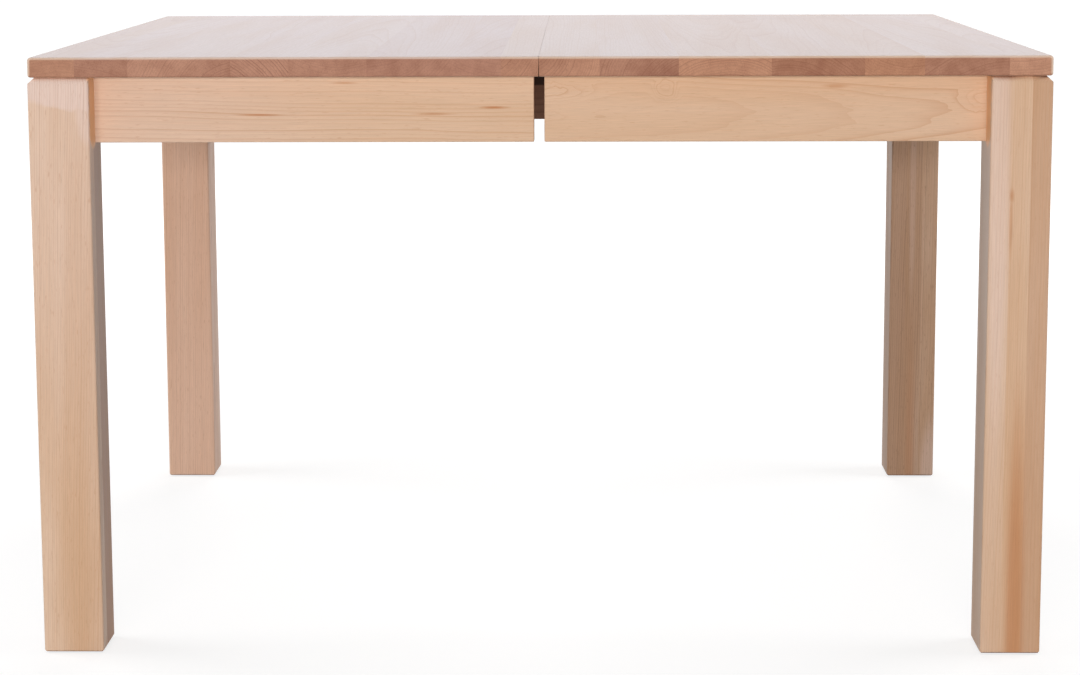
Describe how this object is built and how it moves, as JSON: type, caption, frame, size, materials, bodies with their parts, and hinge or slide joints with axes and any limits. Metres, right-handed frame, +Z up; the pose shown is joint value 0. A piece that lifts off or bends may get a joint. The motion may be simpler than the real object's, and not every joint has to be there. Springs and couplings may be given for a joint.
{
  "type": "dining table",
  "caption": "Square-legged wooden dining table with a split top and apron; the halves pull apart on geared slides to take leaves and lock at the seam.",
  "frame": {"origin": "on the floor under the middle of the closed table", "axes": "+X to the right along the table, the way the right half pulls out; +Y to the back; +Z up"},
  "size_m": [1.27, 1.067, 0.762],
  "materials": {
    "maple_top": "satin lacquered maple",
    "maple_apron": "satin lacquered maple",
    "maple_leg": "satin lacquered maple",
    "slide_wood": "waxed dark hardwood",
    "block_wood": "bare hardwood",
    "zinc_steel": "zinc plated",
    "brass": "plain brass",
    "gear_nylon": "moulded nylon",
    "glide_nylon": "moulded nylon"
  },
  "bodies": {
    "left_half": {"back_left_leg": "maple_leg", "back_left_rack": "zinc_steel", "back_left_rail": "slide_wood", "front_left_leg": "maple_leg", "front_left_rack": "zinc_steel", "front_left_rail": "slide_wood", "left_back_apron": "maple_apron", "left_block_screws": "zinc_steel", "left_button_screws": "zinc_steel", "left_corner_blocks": "block_wood", "left_end_apron": "maple_apron", "left_foot_glides": "glide_nylon", "left_front_apron": "maple_apron", "left_hanger_bolts": "zinc_steel", "left_leg_nuts": "zinc_steel", "left_leg_washers": "zinc_steel", "left_rail_screws": "zinc_steel", "left_stop_pins": "zinc_steel", "left_top": "maple_top", "left_top_buttons": "block_wood", "lock_base_screws": "zinc_steel", "lock_bases": "zinc_steel", "lock_pivots": "zinc_steel", "table_pins": "brass"},
    "right_half": {"back_right_leg": "maple_leg", "back_right_rack": "zinc_steel", "back_right_rail": "slide_wood", "front_right_leg": "maple_leg", "front_right_rack": "zinc_steel", "front_right_rail": "slide_wood", "keeper_screws": "zinc_steel", "lock_keepers": "zinc_steel", "pin_bushes": "brass", "right_back_apron": "maple_apron", "right_block_screws": "zinc_steel", "right_button_screws": "zinc_steel", "right_corner_blocks": "block_wood", "right_end_apron": "maple_apron", "right_foot_glides": "glide_nylon", "right_front_apron": "maple_apron", "right_hanger_bolts": "zinc_steel", "right_leg_nuts": "zinc_steel", "right_leg_washers": "zinc_steel", "right_rail_screws": "zinc_steel", "right_stop_pins": "zinc_steel", "right_top": "maple_top", "right_top_buttons": "block_wood"},
    "front_centre": {"front_centre_rail": "slide_wood", "front_pinion_axle": "zinc_steel"},
    "back_centre": {"back_centre_rail": "slide_wood", "back_pinion_axle": "zinc_steel"},
    "front_gear": {"front_pinion": "gear_nylon"},
    "back_gear": {"back_pinion": "gear_nylon"},
    "front_lock": {"front_lock_hook": "zinc_steel"},
    "back_lock": {"back_lock_hook": "zinc_steel"}
  },
  "joints": [
    {"name": "table_extension", "type": "slide", "parent": "left_half", "child": "right_half", "axis": [1, 0, 0], "range_m": [0, 0.61]},
    {"name": "front_centre_slide", "type": "slide", "parent": "left_half", "child": "front_centre", "axis": [1, 0, 0], "range_m": [0, 0.305]},
    {"name": "front_gear_turn", "type": "hinge", "parent": "front_centre", "child": "front_gear", "pos_m": [0, -0.3639, 0.71908], "axis": [0, 0, 1], "range_deg": [-1095, 0]},
    {"name": "front_lock_swing", "type": "hinge", "parent": "left_half", "child": "front_lock", "pos_m": [-0.04, -0.14556, 0.7312], "axis": [0, 0, -1], "range_deg": [0, 90]},
    {"name": "back_centre_slide", "type": "slide", "parent": "left_half", "child": "back_centre", "axis": [1, 0, 0], "range_m": [0, 0.305]},
    {"name": "back_gear_turn", "type": "hinge", "parent": "back_centre", "child": "back_gear", "pos_m": [0, 0.3639, 0.71908], "axis": [0, 0, 1], "range_deg": [0, 1095]},
    {"name": "back_lock_swing", "type": "hinge", "parent": "left_half", "child": "back_lock", "pos_m": [-0.04, 0.14556, 0.7312], "axis": [0, 0, 1], "range_deg": [0, 90]}
  ],
  "couplings": [
    {"joint": "front_centre_slide", "follows": "table_extension", "ratio": 0.5},
    {"joint": "front_gear_turn", "follows": "table_extension", "rad_per_m": -31.25},
    {"joint": "back_centre_slide", "follows": "table_extension", "ratio": 0.5},
    {"joint": "back_gear_turn", "follows": "table_extension", "rad_per_m": 31.25}
  ]
}
